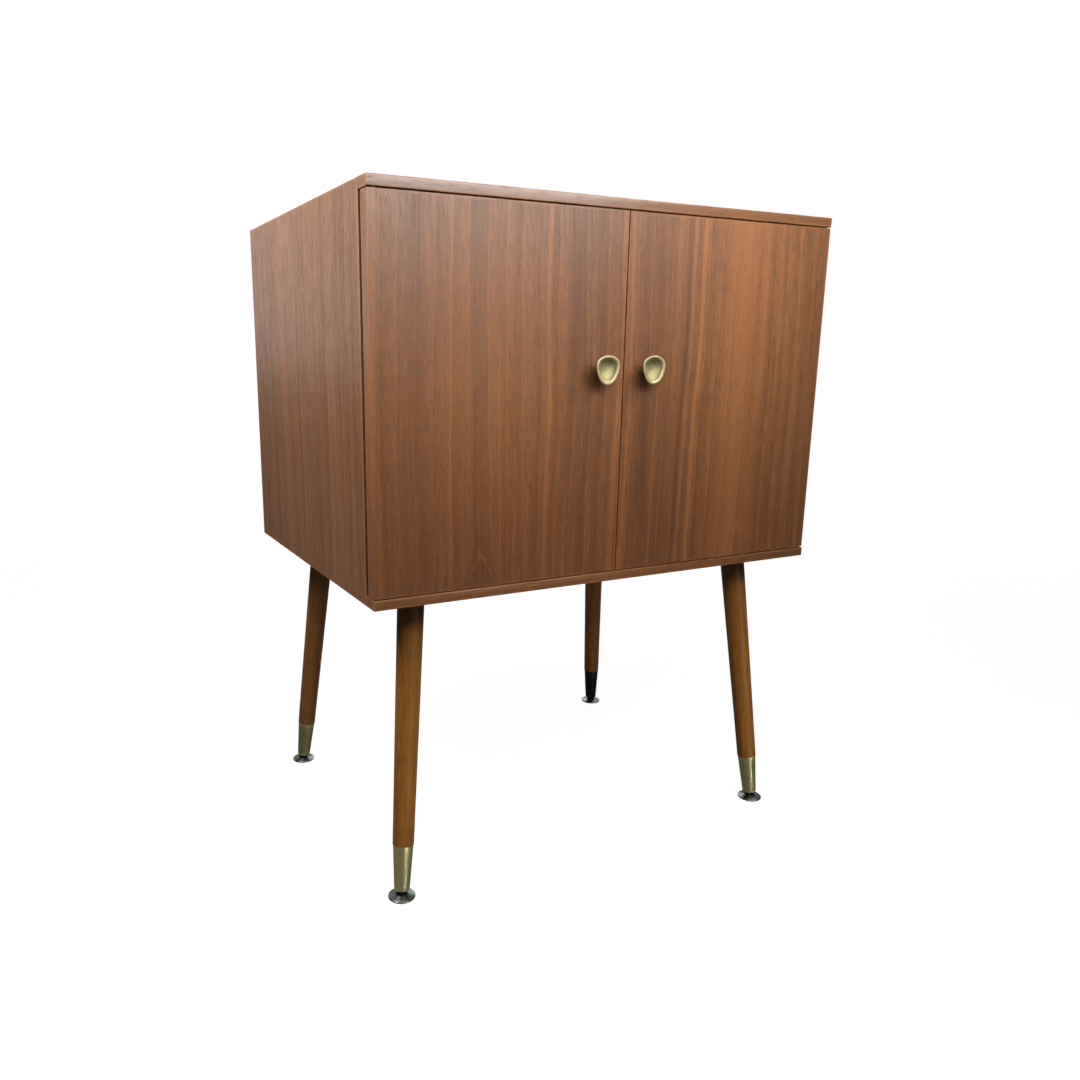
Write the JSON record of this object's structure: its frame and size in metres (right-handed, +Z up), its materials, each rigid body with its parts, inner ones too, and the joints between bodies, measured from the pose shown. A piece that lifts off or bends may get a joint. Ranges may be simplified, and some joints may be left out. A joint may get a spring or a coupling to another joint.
{
  "type": "record cabinet",
  "caption": "Low walnut record cabinet with hinged doors, scooped brass pulls and tapered, splayed legs in brass ferrules on swivelling glides.",
  "frame": {"origin": "on the floor, under the middle of the space that the cabinet and its pulls take up", "axes": "+Z up, doors facing -Y, +X to the right of someone who faces the doors"},
  "size_m": [0.61, 0.4772, 0.784],
  "materials": {
    "veneer": "straight-grained walnut veneer, satin oil",
    "lipping": "solid walnut strips, satin oil",
    "birch_ply": "plain birch plywood, sealed",
    "leg_walnut": "turned walnut, satin oil",
    "pull_brass": "cast brass, softly polished",
    "ferrule_brass": "spun brass, aged and satin",
    "hinge_brass": "stamped brass, satin",
    "steel": "zinc-plated steel",
    "dark_steel": "black oxide steel",
    "catch_plastic": "brown moulded plastic"
  },
  "bodies": {
    "cabinet": {"back_left_ferrule": "ferrule_brass", "back_left_leg": "leg_walnut", "back_left_leg_plate": "dark_steel", "back_panel": "birch_ply", "back_panel_screws": "steel", "back_right_ferrule": "ferrule_brass", "back_right_leg": "leg_walnut", "back_right_leg_plate": "dark_steel", "bottom_front_lipping": "lipping", "bottom_panel": "veneer", "carcass_leaf_screws": "hinge_brass", "catch_screws": "steel", "centre_partition": "veneer", "centre_partition_lipping": "lipping", "front_left_ferrule": "ferrule_brass", "front_left_leg": "leg_walnut", "front_left_leg_plate": "dark_steel", "front_right_ferrule": "ferrule_brass", "front_right_leg": "leg_walnut", "front_right_leg_plate": "dark_steel", "glide_stems": "steel", "hanger_bolts": "steel", "hinge_pins": "hinge_brass", "hinge_washers": "hinge_brass", "left_catch_housing": "catch_plastic", "left_catch_magnet": "dark_steel", "left_inner_divider": "birch_ply", "left_outer_divider": "birch_ply", "left_side_lipping": "lipping", "left_side_panel": "veneer", "leg_plate_screws": "steel", "lower_carcass_leaves": "hinge_brass", "mitre_splines": "birch_ply", "right_catch_housing": "catch_plastic", "right_catch_magnet": "dark_steel", "right_inner_divider": "birch_ply", "right_outer_divider": "birch_ply", "right_side_lipping": "lipping", "right_side_panel": "veneer", "top_front_lipping": "lipping", "top_panel": "veneer", "upper_carcass_leaves": "hinge_brass"},
    "left_door": {"left_door_hinge_leaves": "hinge_brass", "left_door_lippings": "lipping", "left_door_panel": "veneer", "left_door_screws": "steel", "left_pull": "pull_brass", "left_pull_screw": "steel", "left_strike_plate": "steel"},
    "right_door": {"right_door_hinge_leaves": "hinge_brass", "right_door_lippings": "lipping", "right_door_panel": "veneer", "right_door_screws": "steel", "right_pull": "pull_brass", "right_pull_screw": "steel", "right_strike_plate": "steel"},
    "front_left_glide": {"front_left_glide_base": "steel"},
    "front_right_glide": {"front_right_glide_base": "steel"},
    "back_left_glide": {"back_left_glide_base": "steel"},
    "back_right_glide": {"back_right_glide_base": "steel"}
  },
  "joints": [
    {"name": "left_door_hinge", "type": "hinge", "parent": "cabinet", "child": "left_door", "pos_m": [-0.2962, -0.2121, 0.5705], "axis": [0, 0, -1], "range_deg": [0, 180]},
    {"name": "right_door_hinge", "type": "hinge", "parent": "cabinet", "child": "right_door", "pos_m": [0.2962, -0.2121, 0.5705], "axis": [0, 0, 1], "range_deg": [0, 180]},
    {"name": "front_left_glide_swivel", "type": "hinge", "parent": "cabinet", "child": "front_left_glide", "pos_m": [-0.26989, -0.1994, 0.004], "axis": [-0.766, 0.6428, 0], "range_deg": [-7, 23]},
    {"name": "front_right_glide_swivel", "type": "hinge", "parent": "cabinet", "child": "front_right_glide", "pos_m": [0.26989, -0.1994, 0.004], "axis": [-0.766, -0.6428, 0], "range_deg": [-7, 23]},
    {"name": "back_left_glide_swivel", "type": "hinge", "parent": "cabinet", "child": "back_left_glide", "pos_m": [-0.26989, 0.1996, 0.004], "axis": [0.766, 0.6428, 0], "range_deg": [-7, 23]},
    {"name": "back_right_glide_swivel", "type": "hinge", "parent": "cabinet", "child": "back_right_glide", "pos_m": [0.26989, 0.1996, 0.004], "axis": [0.766, -0.6428, 0], "range_deg": [-7, 23]}
  ]
}
